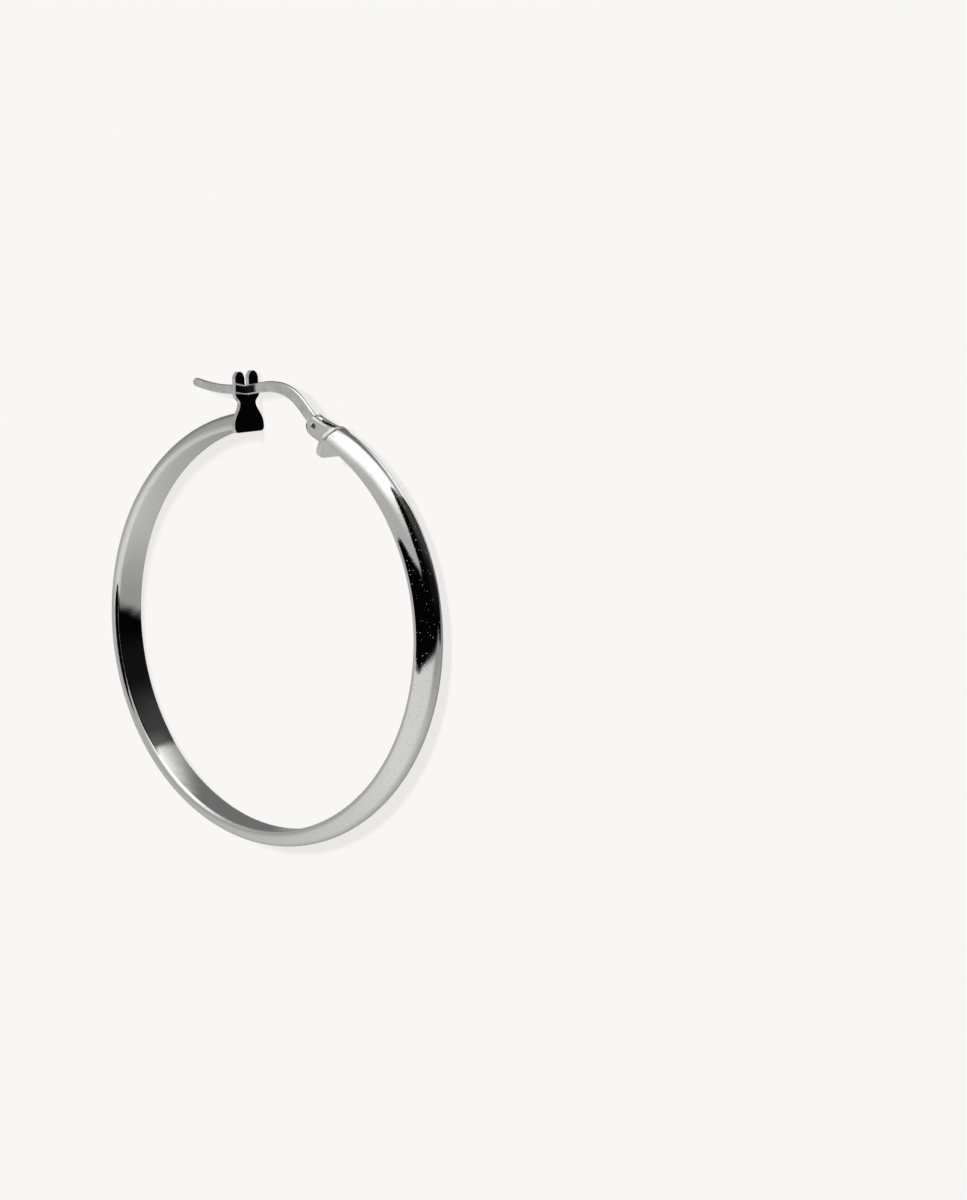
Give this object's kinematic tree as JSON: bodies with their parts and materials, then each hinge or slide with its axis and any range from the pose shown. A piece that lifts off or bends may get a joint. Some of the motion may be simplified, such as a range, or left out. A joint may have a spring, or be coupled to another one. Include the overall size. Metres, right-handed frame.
{
  "type": "hoop earring",
  "caption": "Round hoop earring with a D-section band and a hinged ear wire that snaps into a slotted catch plate, lying on its side.",
  "frame": {"origin": "bottom centre of the part's box, on the surface that the hoop lies on", "axes": "+Z along the hoop's axis, upwards; +Y in the plane of the hoop towards the clasp; +X in the plane of the hoop towards the hinge side"},
  "size_m": [0.04, 0.0428, 0.0038],
  "materials": {
    "polished_silver": "polished sterling silver",
    "satin_silver": "satin sterling silver, stamped",
    "dulled_silver": "dulled silver, recessed"
  },
  "bodies": {
    "hoop": {"hoop": "polished_silver", "hinge_pin": "dulled_silver"},
    "ear_wire": {"ear_wire": "satin_silver"}
  },
  "joints": [
    {"name": "ear_wire_hinge", "type": "hinge", "parent": "hoop", "child": "ear_wire", "pos_m": [0.00509, 0.01708, 0.00188], "axis": [0, 0, -1], "range_deg": [0, 80]}
  ]
}
